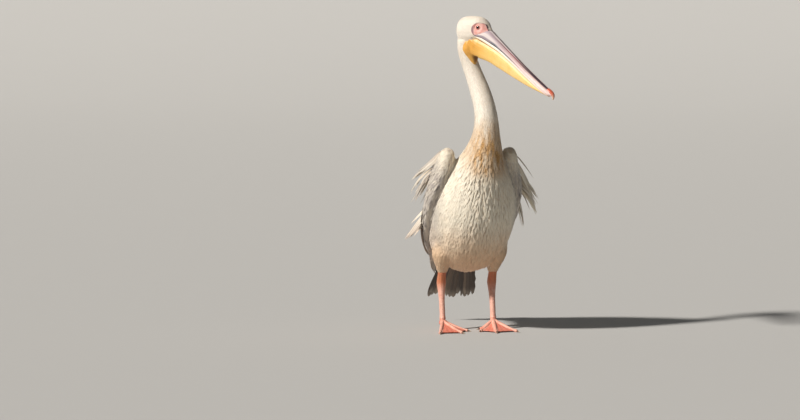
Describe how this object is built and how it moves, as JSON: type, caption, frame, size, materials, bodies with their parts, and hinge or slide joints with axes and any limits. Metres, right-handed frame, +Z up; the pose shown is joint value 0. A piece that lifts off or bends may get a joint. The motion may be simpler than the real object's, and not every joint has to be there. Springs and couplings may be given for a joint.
{
  "type": "pelican figure",
  "caption": "Life-size great white pelican standing upright with its head turned to one side, folded wings, long bill with a yellow pouch and webbed feet.",
  "frame": {"origin": "on the floor, under the middle of the whole figure's box", "axes": "+Z up; the body faces -Y, the bird's left side is at +X, and its head is turned towards +X"},
  "size_m": [0.4492, 0.7618, 1.0885],
  "materials": {
    "plumage": "soft white feathers with a warm cream cast",
    "quills": "dark flight and tail feathers under paler coverts",
    "pouch_skin": "smooth stretched skin with fine folds",
    "leg_skin": "scaly bare skin",
    "horn": "polished horn",
    "nail": "polished horn",
    "eye": "wet dark eye",
    "claw": "worn horn"
  },
  "bodies": {
    "root": {"bill_lower": "horn", "bill_nail": "nail", "bill_upper": "horn", "claw_left_1": "claw", "claw_left_2": "claw", "claw_left_3": "claw", "claw_left_4": "claw", "claw_right_1": "claw", "claw_right_2": "claw", "claw_right_3": "claw", "claw_right_4": "claw", "eye_left": "eye", "eye_right": "eye", "foot_left": "leg_skin", "foot_right": "leg_skin", "head": "plumage", "neck_lower": "plumage", "neck_middle": "plumage", "neck_upper": "plumage", "pouch": "pouch_skin", "shank_left": "leg_skin", "shank_right": "leg_skin", "tail": "quills", "thigh_left": "plumage", "thigh_right": "plumage", "trunk": "plumage", "wing_left_forearm": "plumage", "wing_left_plume_1": "plumage", "wing_left_plume_2": "plumage", "wing_left_plume_3": "plumage", "wing_left_plume_4": "plumage", "wing_left_quills": "quills", "wing_left_wrist": "plumage", "wing_right_forearm": "plumage", "wing_right_plume_1": "plumage", "wing_right_plume_2": "plumage", "wing_right_plume_3": "plumage", "wing_right_plume_4": "plumage", "wing_right_quills": "quills", "wing_right_wrist": "plumage"}
  },
  "joints": []
}
